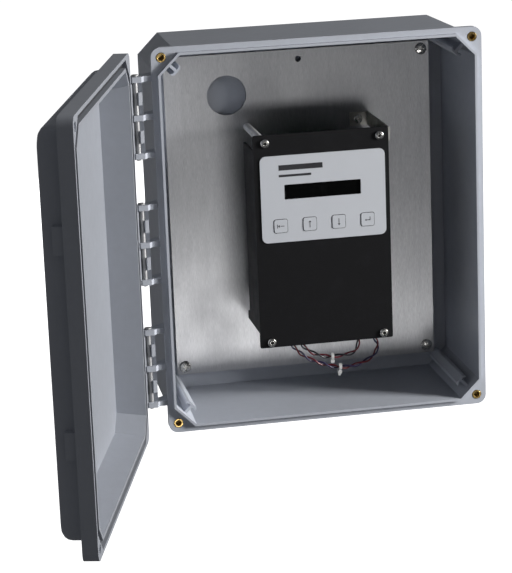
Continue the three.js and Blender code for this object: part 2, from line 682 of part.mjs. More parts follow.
function terminalBlock(x) {
  const back = BOARD_BACK_Y + GAP;
  const bottom = BOARD.z - BOARD.height / 2;
  const half = TERMINAL.width / 2;
  const body = block(x - half, x + half, back, back + TERMINAL.depth, bottom, bottom + TERMINAL.height);
  const screws = [-1.5, -0.5, 0.5, 1.5].map((step) => {
    const screwX = x + step * TERMINAL_SCREW.pitch;
    const screwZ = bottom + TERMINAL_SCREW.z;
    const { radius, front, back: rear } = TERMINAL_SCREW;
    return rodY(radius, back + front, back + rear, screwX, screwZ, 12);
  });
  return combine([body], screws);
}

function coverStandoff(corner) {
  const { x, z } = coverScrewPoint(corner);
  const post = rodY(STANDOFF_RADIUS, COVER_BACK_Y + GAP, PLATE_FRONT_Y - GAP, x, z, 20);
  const frontBore = rodY(COVER_SCREW_HOLE, COVER_BACK_Y - 1, COVER_BACK_Y + STANDOFF_BORE_FRONT, x, z, 16);
  const rearBore = rodY(FIXING_HOLE, PLATE_FRONT_Y - STANDOFF_BORE_REAR, PLATE_FRONT_Y + 1, x, z, 16);
  return combine([post], [frontBore, rearBore]);
}

function coverBracket(corner) {
  const { x, z } = coverScrewPoint(corner);
  const z0 = z - BRACKET_WIDTH / 2;
  const z1 = z + BRACKET_WIDTH / 2;
  const outer = COVER_CENTRE_X + COVER_WIDTH / 2 + BRACKET_THICKNESS + GAP;
  const inner = outer - BRACKET_REACH;
  const front = COVER_BACK_Y + GAP;
  const back = PLATE_FRONT_Y - GAP;
  const leg = block(outer - BRACKET_THICKNESS, outer, front, back, z0, z1);
  const foot = block(inner, outer, back - BRACKET_THICKNESS, back, z0, z1);
  const tab = block(inner, outer, front, front + BRACKET_THICKNESS, z0, z1);
  const holes = [
    rodY(COVER_SCREW_HOLE, front - 1, front + 2 * BRACKET_THICKNESS, x, z, 16),
    rodY(FIXING_HOLE, back - 2 * BRACKET_THICKNESS, back + 1, x, z, 16),
  ];
  return combine([leg, foot, tab], holes);
}

// ---- wiring ----

class TwistedRoute extends THREE.Curve {
  constructor(centreLine, phase) {
    super();
    this.centreLine = centreLine;
    this.phase = phase;
    this.turns = Math.round(centreLine.getLength() / TWIST_PITCH);
  }

  getPoint(t) {
    const tangent = this.centreLine.getTangentAt(t);
    const side = new THREE.Vector3(0, 1, 0).addScaledVector(tangent, -tangent.y).normalize();
    const across = new THREE.Vector3().crossVectors(tangent, side);
    const angle = this.phase + t * this.turns * Math.PI * 2;
    const point = this.centreLine.getPointAt(t);
    point.addScaledVector(side, PAIR_RADIUS * Math.cos(angle));
    return point.addScaledVector(across, PAIR_RADIUS * Math.sin(angle));
  }
}

function wireTube(centreLine, phase) {
  const section = new THREE.Shape();
  section.absarc(0, 0, WIRE_RADIUS, 0, Math.PI * 2);
  const steps = Math.round(centreLine.getLength() / WIRE_STEP);
  const options = { extrudePath: new TwistedRoute(centreLine, phase), steps, curveSegments: 4 };
  return combine([new THREE.ExtrudeGeometry(section, options)]);
}

function route(points) {
  const places = points.map((point) => new THREE.Vector3(...point));
  return new THREE.CatmullRomCurve3(places, false, "centripetal");
}

const terminalBottom = BOARD.z - BOARD.height / 2 - 2 * GAP;
const innerRoute = route([
  [-20, -68, terminalBottom],
  [-20, -67.5, -92],
  [-19, -65.5, -102],
  [-8, -62, -116],
  [8, -60, -123],
  [23.5, -60, -123],
  [32.6, -60, -121],
  [36, -61.5, -114],
  [35, -65, -102],
  [34, -67.5, -92],
  [34, -68, terminalBottom],
]);
const outerRoute = route([
  [-28, -68, terminalBottom],
  [-28, -67.5, -92],
  [-26, -65.5, -104],
  [-13, -61, -120],
  [3, -60, -129],
  [17, -60, -133.5],
  [28, -60, -134],
  [41, -60, -131],
  [50.5, -60.5, -125],
  [53.5, -62, -116],
  [49, -64.5, -106],
  [45.5, -67, -96],
  [45, -68, terminalBottom],
]);

function cableTie(centreLine, t, tailLength) {
  const inner = PAIR_RADIUS + WIRE_RADIUS + GAP;
  const outer = inner + TIE_THICKNESS;
  const half = TIE_WIDTH / 2;
  const profile = [
    new THREE.Vector2(inner, -half),
    new THREE.Vector2(outer, -half),
    new THREE.Vector2(outer, half),
    new THREE.Vector2(inner, half),
    new THREE.Vector2(inner, -half),
  ];
  const band = new THREE.LatheGeometry(profile, 20);
  const headHalf = TIE_HEAD.length / 2;
  const headTop = -outer - TIE_HEAD.rise;
  const head = block(-TIE_HEAD.width / 2, TIE_HEAD.width / 2, -headHalf, headHalf, headTop, -inner - 0.5);
  const tailHalf = TIE_THICKNESS / 2;
  const tail = block(-tailHalf, tailHalf, -half + 0.2, half - 0.2, headTop - tailLength, headTop + 1);
  const tie = combine([band, head, tail]);
  const along = new THREE.Vector3(0, 1, 0);
  const turn = new THREE.Quaternion().setFromUnitVectors(along, centreLine.getTangentAt(t));
  const centre = centreLine.getPointAt(t);
  return tie.applyQuaternion(turn).translate(centre.x, centre.y, centre.z);
}

// ---- build the case side ----

place("enclosure_base", enclosureBase(), caseGrey);
place("back_plate", backPlate(), brushedMetal);
for (const corner of CORNERS) {
  place(`insert_${corner.name}`, threadedInsert(corner), brass);
  const plateScrew = place(`plate_screw_${corner.name}`, crossScrew(PLATE_SCREW), screwSteel);
  plateScrew.position.set(corner.sx * PLATE_SCREW_X, PLATE_FRONT_Y - GAP, corner.sz * PLATE_SCREW_Z);
}
["top", "middle", "bottom"].forEach((name, index) => {
  place(`hinge_pin_${name}`, hingePin(hingeGroups()[index]), screwSteel);
});

// ---- build the door, closed, then swing it open about the hinge pins ----

place("door", doorShell(), caseGrey, doorGroup);
place("door_gasket", doorGasket(), gasketBlack, doorGroup);
for (const corner of CORNERS.filter((candidate) => candidate.sx > 0)) {
  const name = `door_screw_${corner.sz > 0 ? "top" : "bottom"}`;
  const screw = place(name, crossScrew(DOOR_SCREW), screwSteel, doorGroup);
  const { x, z } = insertCentre(corner);
  screw.position.set(x, DOOR_Y - SKIRT_THICKNESS + DOOR_SCREW_SEAT.depth - GAP, z);
}
const openAngle = -THREE.MathUtils.degToRad(DOOR_OPEN_DEG);
const hinge = new THREE.Vector3(HINGE_X, HINGE_Y, 0);
doorGroup.rotation.z = openAngle;
doorGroup.position.copy(hinge).sub(hinge.clone().applyAxisAngle(new THREE.Vector3(0, 0, 1), openAngle));

// ---- build the display unit ----

place("display_cover", displayCover(), coverBlack);
place("keypad_label", keypadLabel(), labelPale);
place("display_lens", displayLens(), lensBlack);
place("display_module", displayModule(), moduleGrey);
place("controller_board", controllerBoard(), boardGreen);
place("terminal_block_left", terminalBlock(TERMINAL.leftX), terminalGreen);
place("terminal_block_right", terminalBlock(TERMINAL.rightX), terminalGreen);
for (const key of keyCentres()) {
  place(`key_${key.name}`, keyCap(key), keyPale);
  place(`key_switch_${key.name}`, keySwitch(key), moduleGrey);
}
for (const corner of CORNERS) {
  const point = coverScrewPoint(corner);
  const coverScrew = place(`cover_screw_${corner.name}`, socketScrew(COVER_SCREW), screwSteel);
  coverScrew.position.set(point.x, COVER_FRONT_Y - GAP, point.z);
  place(`board_spacer_${corner.name}`, boardSpacer(corner), nylonWhite);
  if (corner.name === "top_right") {
    place("cover_bracket", coverBracket(corner), brushedMetal);
    const bracketScrew = place("bracket_screw", crossScrew(BRACKET_SCREW), screwSteel);
    bracketScrew.position.set(point.x, PLATE_FRONT_Y - BRACKET_THICKNESS - 2 * GAP, point.z);
  } else {
    place(`cover_standoff_${corner.name}`, coverStandoff(corner), screwSteel);
    const rearScrew = place(`standoff_screw_${corner.name}`, crossScrew(STANDOFF_SCREW), screwSteel);
    rearScrew.rotation.z = Math.PI;
    rearScrew.position.set(point.x, PLATE_BACK_Y + GAP, point.z);
  }
}
place("wire_inner_red", wireTube(innerRoute, 0), wireRed);
place("wire_inner_black", wireTube(innerRoute, Math.PI), wireBlack);
place("wire_outer_red", wireTube(outerRoute, 0), wireRed);
place("wire_outer_violet", wireTube(outerRoute, Math.PI), wireViolet);
place("cable_tie_inner", cableTie(innerRoute, 0.5, 0.5), nylonWhite);
place("cable_tie_outer", cableTie(outerRoute, 0.5, 2), nylonWhite);

export default group;
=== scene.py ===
import json
import math

import bmesh
import bpy
from mathutils import Matrix, Vector

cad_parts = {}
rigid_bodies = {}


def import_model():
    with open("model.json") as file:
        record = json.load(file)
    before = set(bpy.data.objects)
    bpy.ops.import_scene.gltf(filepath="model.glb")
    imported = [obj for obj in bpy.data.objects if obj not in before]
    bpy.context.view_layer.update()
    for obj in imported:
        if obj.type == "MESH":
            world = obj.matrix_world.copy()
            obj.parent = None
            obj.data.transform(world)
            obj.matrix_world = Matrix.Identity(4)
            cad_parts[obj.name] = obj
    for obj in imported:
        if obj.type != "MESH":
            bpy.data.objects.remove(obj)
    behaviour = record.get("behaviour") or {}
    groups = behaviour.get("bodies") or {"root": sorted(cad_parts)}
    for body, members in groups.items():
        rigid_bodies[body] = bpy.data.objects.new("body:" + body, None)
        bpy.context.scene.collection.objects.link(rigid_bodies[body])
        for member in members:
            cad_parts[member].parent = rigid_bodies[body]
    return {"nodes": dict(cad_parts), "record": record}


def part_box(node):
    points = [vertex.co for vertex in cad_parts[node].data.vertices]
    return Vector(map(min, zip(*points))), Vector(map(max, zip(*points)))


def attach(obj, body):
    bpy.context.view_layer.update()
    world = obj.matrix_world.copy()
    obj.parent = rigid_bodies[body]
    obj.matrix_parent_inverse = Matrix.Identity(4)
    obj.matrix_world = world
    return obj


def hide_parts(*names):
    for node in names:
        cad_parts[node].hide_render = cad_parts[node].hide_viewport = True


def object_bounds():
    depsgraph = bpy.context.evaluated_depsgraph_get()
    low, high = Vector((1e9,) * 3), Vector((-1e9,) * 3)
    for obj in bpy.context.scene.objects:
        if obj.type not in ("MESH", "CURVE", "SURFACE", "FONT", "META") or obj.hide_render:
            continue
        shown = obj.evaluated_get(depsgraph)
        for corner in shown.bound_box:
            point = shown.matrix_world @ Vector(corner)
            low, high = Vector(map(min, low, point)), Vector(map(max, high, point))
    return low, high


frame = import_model()
cad_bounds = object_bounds()
NODES = frame["nodes"]
CORNERS = ("top_left", "top_right", "bottom_right", "bottom_left")
KEYS = ("escape", "up", "down", "enter")
MM = 0.001


# ---- camera ----

CAMERA_PLACE = Vector((-0.3955, -1.9345, 0.4547))
CAMERA_AZIMUTH = math.radians(10.36)
CAMERA_DROP = math.radians(14.95)
CAMERA_ROLL = math.radians(2.24)
CAMERA_LENS = 143.0


def make_camera():
    data = bpy.data.cameras.new("camera")
    data.lens = CAMERA_LENS
    data.sensor_width = 36
    camera = bpy.data.objects.new("camera", data)
    bpy.context.scene.collection.objects.link(camera)
    ahead = Vector((
        math.sin(CAMERA_AZIMUTH) * math.cos(CAMERA_DROP),
        math.cos(CAMERA_AZIMUTH) * math.cos(CAMERA_DROP),
        -math.sin(CAMERA_DROP),
    ))
    right = ahead.cross(Vector((0, 0, 1))).normalized()
    right.rotate(Matrix.Rotation(CAMERA_ROLL, 3, ahead))
    up = right.cross(ahead)
    turn = Matrix((right, up, -ahead)).transposed()
    camera.matrix_world = Matrix.Translation(CAMERA_PLACE) @ turn.to_4x4()
    bpy.context.scene.camera = camera


make_camera()


# ---- material helpers ----

def start_material(name):
    material = bpy.data.materials.new(name)
    material.use_nodes = True
    tree = material.node_tree
    return material, tree, tree.nodes["Principled BSDF"]


def add(tree, kind, links=None, **values):
    """A node with its sockets set by name, and its properties where no socket has that name."""
    node = tree.nodes.new(kind)
    for key, value in values.items():
        if key in node.inputs:
            node.inputs[key].default_value = value
        else:
            setattr(node, key, value)
    for key, source in (links or {}).items():
        tree.links.new(source, node.inputs[key])
    return node


def coordinates(tree, scale=(1, 1, 1), space="Object"):
    source = add(tree, "ShaderNodeTexCoord").outputs[space]
    return add(tree, "ShaderNodeMapping", {"Vector": source}, Scale=scale).outputs["Vector"]


def noise(tree, vector, scale, detail=3.0, roughness=0.5):
    values = {"Scale": scale, "Detail": detail, "Roughness": roughness}
    return add(tree, "ShaderNodeTexNoise", {"Vector": vector}, **values).outputs["Fac"]


def spread(tree, factor, low, high, start=0.3, end=0.7):
    """Maps a factor between start and end onto low to high."""
    values = {"From Min": start, "From Max": end, "To Min": low, "To Max": high}
    return add(tree, "ShaderNodeMapRange", {"Value": factor}, **values).outputs["Result"]


def blend_colours(tree, factor, dark, light):
    mix = add(tree, "ShaderNodeMix", data_type="RGBA")
    tree.links.new(factor, mix.inputs["Factor"])
    low, high = [socket for socket in mix.inputs if socket.type == "RGBA"]
    low.default_value = (*dark, 1)
    high.default_value = (*light, 1)
    return [out for out in mix.outputs if out.type == "RGBA"][0]


def multiply_colour(tree, colour, factor):
    mix = add(tree, "ShaderNodeMix", data_type="RGBA", blend_type="MULTIPLY")
    colours = [socket for socket in mix.inputs if socket.type == "RGBA"]
    mix.inputs["Factor"].default_value = 1
    tree.links.new(colour, colours[0])
    tree.links.new(factor, colours[1])
    return [out for out in mix.outputs if out.type == "RGBA"][0]


def bump(tree, shader, height, depth, previous=None):
    links = {"Height": height}
    if previous:
        links["Normal"] = previous
    node = add(tree, "ShaderNodeBump", links, Distance=depth)
    tree.links.new(node.outputs["Normal"], shader.inputs["Normal"])
    return node.outputs["Normal"]


def shade(colour, factor):
    return tuple(channel * factor for channel in colour)


# ---- materials ----

def moulded(name, colour, roughness=0.45, grain=0.45 * MM, depth=0.02 * MM, tone=0.05, specular=0.5):
    """Moulded plastic: a fine even grain, slow drift in tone, and handling marks in the gloss."""
    material, tree, shader = start_material(name)
    place = coordinates(tree)
    drift = noise(tree, place, 14, 4)
    mottle = noise(tree, place, 160, 5, 0.65)
    base = blend_colours(tree, drift, shade(colour, 1 - tone), shade(colour, 1 + tone))
    base = multiply_colour(tree, base, spread(tree, mottle, 0.97, 1.02))
    tree.links.new(base, shader.inputs["Base Color"])
    marks = noise(tree, place, 45, 6, 0.6)
    tree.links.new(spread(tree, marks, roughness - 0.07, roughness + 0.08), shader.inputs["Roughness"])
    shader.inputs["Specular IOR Level"].default_value = specular
    sink = bump(tree, shader, noise(tree, place, 9, 2), 0.25 * MM)
    bump(tree, shader, noise(tree, place, 1 / grain, 3, 0.6), depth, sink)
    return material


def powder_coat():
    """Black powder coat: dense orange peel, dusted in places."""
    material, tree, shader = start_material("cover_black")
    place = coordinates(tree)
    dust = noise(tree, place, 55, 8, 0.75)
    dusted = spread(tree, dust, 0, 1, 0.5, 0.8)
    base = blend_colours(tree, dusted, (0.0045, 0.0045, 0.0055), (0.009, 0.009, 0.011))
    speck = noise(tree, place, 1900, 2, 0.4)
    glint = spread(tree, speck, 1, 1.9, 0.62, 0.72)
    tree.links.new(multiply_colour(tree, base, glint), shader.inputs["Base Color"])
    tree.links.new(spread(tree, dust, 0.46, 0.6), shader.inputs["Roughness"])
    shader.inputs["Specular IOR Level"].default_value = 0.2
    bump(tree, shader, noise(tree, place, 1300, 3, 0.5), 0.035 * MM)
    return material


def rubber():
    material, tree, shader = start_material("gasket_rubber")
    place = coordinates(tree)
    cells = add(tree, "ShaderNodeTexVoronoi", {"Vector": place}, Scale=900).outputs["Distance"]
    dust = noise(tree, place, 80, 6, 0.7)
    base = blend_colours(tree, dust, (0.022, 0.023, 0.030), (0.060, 0.062, 0.072))
    tree.links.new(base, shader.inputs["Base Color"])
    shader.inputs["Roughness"].default_value = 0.85
    shader.inputs["Sheen Weight"].default_value = 0.15
    bump(tree, shader, cells, 0.12 * MM)
    return material


def turned_metal(name, colour, roughness=0.25, rings=26, tarnish=0.25):
    """Turned metal: rings about the middle of each piece, with tarnish in patches."""
    material, tree, shader = start_material(name)
    centre = coordinates(tree, space="Generated")
    shift = add(tree, "ShaderNodeVectorMath", {0: centre}, operation="SUBTRACT")
    shift.inputs[1].default_value = (0.5, 0.5, 0.5)
    flat = add(tree, "ShaderNodeVectorMath", {0: shift.outputs[0]}, operation="MULTIPLY")
    flat.inputs[1].default_value = (1, 0, 1)
    radius = add(tree, "ShaderNodeVectorMath", {0: flat.outputs[0]}, operation="LENGTH").outputs["Value"]
    wave = add(tree, "ShaderNodeMath", {0: radius}, operation="MULTIPLY")
    wave.inputs[1].default_value = rings * 2 * math.pi
    ring = add(tree, "ShaderNodeMath", {0: wave.outputs[0]}, operation="SINE").outputs[0]
    place = coordinates(tree)
    patches = noise(tree, place, 420, 5, 0.65)
    base = blend_colours(tree, spread(tree, patches, 0, 1), shade(colour, 1 - tarnish), colour)
    tree.links.new(base, shader.inputs["Base Color"])
    shader.inputs["Metallic"].default_value = 1
    tree.links.new(spread(tree, patches, roughness + 0.12, roughness - 0.04), shader.inputs["Roughness"])
    bump(tree, shader, ring, 0.008 * MM)
    return material


def brushed_plate():
    """Sheet brushed up and down: short hair lines, broad soft bands and a few handling smears."""
    material, tree, shader = start_material("plate_metal")
    hair = noise(tree, coordinates(tree, (1, 1, 0.06)), 3200, 3, 0.65)
    streaks = noise(tree, coordinates(tree, (1, 1, 0.12)), 260, 4, 0.55)
    clouds = noise(tree, coordinates(tree, (1, 1, 0.6)), 22, 5, 0.6)
    lines = spread(tree, hair, 0, 1, 0.25, 0.75)
    base = blend_colours(tree, lines, (0.33, 0.33, 0.34), (0.52, 0.52, 0.53))
    base = multiply_colour(tree, base, spread(tree, streaks, 0.93, 1.05))
    base = multiply_colour(tree, base, spread(tree, clouds, 0.92, 1.05))
    tree.links.new(base, shader.inputs["Base Color"])
    shader.inputs["Metallic"].default_value = 1
    shader.inputs["Anisotropic"].default_value = 0.6
    tree.links.new(spread(tree, clouds, 0.36, 0.43), shader.inputs["Roughness"])
    tangent = add(tree, "ShaderNodeTangent", direction_type="UV_MAP", uv_map="brush")
    tree.links.new(tangent.outputs[0], shader.inputs["Tangent"])
    bump(tree, shader, hair, 0.004 * MM)
    return material


def drawn_steel():
    """Drawn pin stock: fine lines along it and a dull patch here and there."""
    material, tree, shader = start_material("pin_steel")
    lines = noise(tree, coordinates(tree, (1, 1, 0.04)), 2600, 3, 0.6)
    patches = noise(tree, coordinates(tree), 90, 5, 0.6)
    base = blend_colours(tree, spread(tree, patches, 0, 1), (0.36, 0.36, 0.36), (0.50, 0.50, 0.50))
    tree.links.new(base, shader.inputs["Base Color"])
    shader.inputs["Metallic"].default_value = 0.55
    tree.links.new(spread(tree, patches, 0.58, 0.48), shader.inputs["Roughness"])
    bump(tree, shader, lines, 0.006 * MM)
    return material


def bent_aluminium():
    material, tree, shader = start_material("bracket_aluminium")
    grain = noise(tree, coordinates(tree, (0.05, 0.05, 1)), 3000, 3, 0.6)
    stain = noise(tree, coordinates(tree), 120, 5, 0.6)
    base = blend_colours(tree, spread(tree, stain, 0, 1), (0.42, 0.41, 0.37), (0.66, 0.65, 0.62))
    tree.links.new(base, shader.inputs["Base Color"])
    shader.inputs["Metallic"].default_value = 1
    tree.links.new(spread(tree, grain, 0.28, 0.46), shader.inputs["Roughness"])
    bump(tree, shader, grain, 0.01 * MM)
    return material


def threaded_rod():
    """Pale round standoff with a fine thread along it."""
    material, tree, shader = start_material("standoff_metal")
    place = coordinates(tree)
    along = add(tree, "ShaderNodeSeparateXYZ", {0: place}).outputs["Y"]
    wave = add(tree, "ShaderNodeMath", {0: along}, operation="MULTIPLY")
    wave.inputs[1].default_value = 2 * math.pi / (1.2 * MM)
    thread = add(tree, "ShaderNodeMath", {0: wave.outputs[0]}, operation="SINE").outputs[0]
    stain = noise(tree, place, 200, 4)
    base = blend_colours(tree, spread(tree, stain, 0, 1), (0.58, 0.58, 0.57), (0.80, 0.80, 0.79))
    tree.links.new(base, shader.inputs["Base Color"])
    shader.inputs["Metallic"].default_value = 0.35
    shader.inputs["Roughness"].default_value = 0.38
    bump(tree, shader, thread, 0.05 * MM)
    return material


def film(name, colour):
    """Printed polyester film: flat tone with a faint leather texture."""
    material, tree, shader = start_material(name)
    place = coordinates(tree)
    haze = noise(tree, place, 60, 5, 0.6)
    base = blend_colours(tree, haze, shade(colour, 0.965), shade(colour, 1.02))
    tree.links.new(base, shader.inputs["Base Color"])
    tree.links.new(spread(tree, haze, 0.34, 0.46), shader.inputs["Roughness"])
    bump(tree, shader, noise(tree, place, 2600, 2, 0.5), 0.012 * MM)
    return material


def ink(name, colour):
    material, tree, shader = start_material(name)
    place = coordinates(tree)
    thin = noise(tree, place, 1500, 4, 0.6)
    base = blend_colours(tree, spread(tree, thin, 0, 1, 0.55, 0.8), colour, shade(colour, 1.8))
    tree.links.new(base, shader.inputs["Base Color"])
    shader.inputs["Roughness"].default_value = 0.4
    return material


def dark_window():
    """Dark display window with the faint cells of a character display under the gloss."""
    material, tree, shader = start_material("lens_dark")
    place = coordinates(tree)
    cells = add(
        tree, "ShaderNodeTexBrick", Scale=1, offset=0.0,
        Color1=(0.0016, 0.0018, 0.0018, 1), Color2=(0.0022, 0.0024, 0.0022, 1),
        Mortar=(0.0008, 0.0008, 0.0009, 1),
    )
    cells.inputs["Mortar Size"].default_value = 0.25 * MM
    cells.inputs["Brick Width"].default_value = 3.55 * MM
    cells.inputs["Row Height"].default_value = 5.9 * MM
    turn = add(tree, "ShaderNodeMapping", {"Vector": place}, Rotation=(math.pi / 2, 0, 0))
    tree.links.new(turn.outputs["Vector"], cells.inputs["Vector"])
    tree.links.new(cells.outputs["Color"], shader.inputs["Base Color"])
    smudge = noise(tree, place, 130, 6, 0.65)
    tree.links.new(spread(tree, smudge, 0.05, 0.16, 0.45, 0.75), shader.inputs["Roughness"])
    shader.inputs["Specular IOR Level"].default_value = 0.14
    shader.inputs["Coat Weight"].default_value = 0.04
    shader.inputs["Coat Roughness"].default_value = 0.03
    return material


def circuit_board():
    """Solder mask with a faint grid of tracks."""
    material, tree, shader = start_material("board_green")
    place = coordinates(tree)
    tracks = add(tree, "ShaderNodeTexVoronoi", {"Vector": place}, Scale=260, distance="MANHATTAN")
    lines = spread(tree, tracks.outputs["Distance"], 0, 1, 0.28, 0.32)
    base = blend_colours(tree, lines, (0.012, 0.085, 0.035), (0.02, 0.13, 0.055))
    tree.links.new(base, shader.inputs["Base Color"])
    shader.inputs["Roughness"].default_value = 0.32
    bump(tree, shader, lines, 0.02 * MM)
    return material


def wire_skin(name, colour):
    """Extruded insulation: glossy, with faint marks along it."""
    material, tree, shader = start_material(name)
    place = coordinates(tree)
    tone = noise(tree, place, 300, 4, 0.6)
    base = blend_colours(tree, spread(tree, tone, 0, 1), shade(colour, 0.75), shade(colour, 1.2))
    tree.links.new(base, shader.inputs["Base Color"])
    tree.links.new(spread(tree, tone, 0.28, 0.42), shader.inputs["Roughness"])
    bump(tree, shader, noise(tree, place, 1800, 2), 0.01 * MM)
    return material


CASE_GREY = (0.50, 0.525, 0.58)
LOOKS = {
    "case_plastic": moulded("case_plastic", CASE_GREY, 0.42, tone=0.035),
    "gasket_rubber": rubber(),
    "insert_brass": turned_metal("insert_brass", (0.52, 0.36, 0.13), 0.28, rings=5, tarnish=0.45),
    "plate_metal": brushed_plate(),
    "bracket_aluminium": bent_aluminium(),
    "screw_steel": turned_metal("screw_steel", (0.66, 0.65, 0.62), 0.22, rings=9),
    "cover_black": powder_coat(),
    "label_film": film("label_film", (0.60, 0.62, 0.66)),
    "switch_plastic": moulded("switch_plastic", (0.02, 0.02, 0.022), 0.4),
    "key_plastic": film("key_plastic", (0.60, 0.62, 0.66)),
    "lens_dark": dark_window(),
    "module_frame": moulded("module_frame", (0.03, 0.03, 0.033), 0.35, specular=0.7),
    "board_green": circuit_board(),
    "terminal_plastic": moulded("terminal_plastic", (0.03, 0.22, 0.09), 0.4),
    "nylon_white": moulded("nylon_white", (0.60, 0.60, 0.59), 0.38, grain=0.3 * MM, depth=0.01 * MM),
    "wire_red": wire_skin("wire_red", (0.13, 0.007, 0.014)),
    "wire_black": wire_skin("wire_black", (0.012, 0.012, 0.018)),
    "wire_violet": wire_skin("wire_violet", (0.026, 0.018, 0.075)),
    "standoff_metal": threaded_rod(),
    "pin_steel": drawn_steel(),
    "label_ink": ink("label_ink", (0.012, 0.012, 0.016)),
    # painted shade: a dark metal for the drives of the cover screws, where shadow falls in the recess
    "socket_shadow": turned_metal("socket_shadow", (0.06, 0.058, 0.055), 0.5, rings=4),
}
SLOTS = {part["node"]: part["material_slot"] for part in frame["record"]["subparts"]}


# ---- pieces made from the CAD solids ----

WELD_DISTANCE = 2e-6
FLAT_ANGLE = math.radians(0.6)
SHARP_ANGLE = math.radians(32)
SOCKET_REACH = 2.1 * MM
SOCKET_START = 0.25 * MM
SOCKET_END = 2.15 * MM


def body_of(node):
    bodies = frame["record"]["behaviour"]["bodies"]
    return next(body for body, members in bodies.items() if node in members)


def finish_piece(piece, body, look):
    bpy.context.scene.collection.objects.link(piece)
    piece.data.materials.clear()
    piece.data.materials.append(LOOKS[look])
    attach(piece, body)


def soften(node, width, segments=2, look=None, name=None):
    """The CAD solid with its sharp edges rounded, as a moulding or a finished metal piece has them."""
    mesh = bmesh.new()
    mesh.from_mesh(NODES[node].data)
    bmesh.ops.remove_doubles(mesh, verts=mesh.verts, dist=WELD_DISTANCE)
    bmesh.ops.dissolve_limit(mesh, angle_limit=FLAT_ANGLE, verts=mesh.verts, edges=mesh.edges)
    sharp = [edge for edge in mesh.edges if edge.is_manifold and edge.calc_face_angle(0) > SHARP_ANGLE]
    bmesh.ops.bevel(
        mesh, geom=sharp, offset=width, offset_type="OFFSET", segments=segments, profile=0.5,
        affect="EDGES", clamp_overlap=True, miter_outer="SHARP", miter_inner="SHARP",
    )
    for face in mesh.faces:
        face.smooth = True
    data = bpy.data.meshes.new((name or node) + "_surface")
    mesh.to_mesh(data)
    mesh.free()
    piece = bpy.data.objects.new((name or node) + "_fine", data)
    finish_piece(piece, body_of(node), look or SLOTS[node])
    normals = piece.modifiers.new("normals", "WEIGHTED_NORMAL")
    normals.keep_sharp = True
    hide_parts(node)
    return piece


def soften_case():
    soften("enclosure_base", 0.5 * MM, 2)
    soften("door", 0.5 * MM, 2)
    soften("door_gasket", 0.8 * MM, 3)


def paint_socket_shade(screw, node):
    """Painted shade in the drive of a screw: a dark metal on the faces near its middle, ahead of the
    shank.
    """
    low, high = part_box(node)
    centre = (low + high) / 2
    # the second material is painted shade for the recess of the drive
    screw.data.materials.append(LOOKS["socket_shadow"])
    for face in screw.data.polygons:
        away = face.center - centre
        sunk = SOCKET_START < face.center.y - low.y < SOCKET_END
        if sunk and math.hypot(away.x, away.z) < SOCKET_REACH:
            face.material_index = 1


def soften_metal():
    for corner in CORNERS:
        soften(f"insert_{corner}", 0.25 * MM)
        soften(f"plate_screw_{corner}", 0.15 * MM)
        paint_socket_shade(soften(f"cover_screw_{corner}", 0.15 * MM), f"cover_screw_{corner}")
    for place in ("top", "middle", "bottom"):
        soften(f"hinge_pin_{place}", 0.3 * MM, look="pin_steel")
    for place in ("top", "bottom"):
        soften(f"door_screw_{place}", 0.2 * MM)
    for corner in ("top_left", "bottom_right", "bottom_left"):
        soften(f"cover_standoff_{corner}", 0.3 * MM, look="standoff_metal")
    soften("bracket_screw", 0.15 * MM)
    soften("cover_bracket", 0.45 * MM, 3)


def brush_plate():
    plate = soften("back_plate", 0.2 * MM)
    layer = plate.data.uv_layers.new(name="brush")
    for loop in plate.data.loops:
        place = plate.data.vertices[loop.vertex_index].co
        layer.data[loop.index].uv = (place.x, place.z)


def soften_unit():
    soften("display_cover", 0.35 * MM, 3)
    soften("keypad_label", 0.12 * MM)
    soften("display_lens", 0.2 * MM)
    for key in KEYS:
        soften(f"key_{key}", 0.15 * MM)
    for side in ("left", "right"):
        soften(f"terminal_block_{side}", 0.25 * MM)


# ---- wires ----

INNER_ROUTE = [
    (-20, -68, -84.6), (-20, -67.5, -92), (-19, -65.5, -102), (-8, -62, -116), (8, -60, -123),
    (23.5, -60, -123), (32.6, -60, -121), (36, -61.5, -114), (35, -65, -102), (34, -67.5, -92),
    (34, -68, -84.6),
]
OUTER_ROUTE = [
    (-28, -68, -84.6), (-28, -67.5, -92), (-26, -65.5, -104), (-13, -61, -120), (3, -60, -129),
    (17, -60, -133.5), (28, -60, -134), (41, -60, -131), (50.5, -60.5, -125), (53.5, -62, -116),
    (49, -64.5, -106), (45.5, -67, -96), (45, -68, -84.6),
]
WIRE_DIAMETER = 1.5 * MM
PAIR_RADIUS = 1.15 * MM
TWIST_PITCH = 22 * MM
WIRE_STEPS = 150


def smooth_route(points, steps=24):
    """A centripetal curve through the points, as closely spaced places."""
    knots = [Vector(point) * MM for point in points]
    knots = [2 * knots[0] - knots[1], *knots, 2 * knots[-1] - knots[-2]]
    places = []
    for before, start, end, after in zip(knots, knots[1:], knots[2:], knots[3:]):
        first = math.sqrt((start - before).length)
        middle = math.sqrt((end - start).length)
        last = math.sqrt((after - end).length)
        leave = (start - before) / first - (end - before) / (first + middle) + (end - start) / middle
        arrive = (end - start) / middle - (after - start) / (middle + last) + (after - end) / last
        leave *= middle
        arrive *= middle
        for step in range(steps):
            t = step / steps
            cubic = 2 * start - 2 * end + leave + arrive
            square = 3 * end - 3 * start - 2 * leave - arrive
            places.append(start + leave * t + square * t * t + cubic * t ** 3)
    places.append(knots[-2])
    return places


def even_places(places, count):
    """Places and directions at equal distances along a route, with the route's length."""
    lengths = [0.0]
    for a, b in zip(places, places[1:]):
        lengths.append(lengths[-1] + (b - a).length)
    total = lengths[-1]
    result = []
    index = 0
    for step in range(count + 1):
        target = total * step / count
        while index < len(places) - 2 and lengths[index + 1] < target:
            index += 1
        span = lengths[index + 1] - lengths[index]
        share = (target - lengths[index]) / span
        ahead = (places[index + 1] - places[index]).normalized()
        result.append((places[index].lerp(places[index + 1], share), ahead))
    return result, total


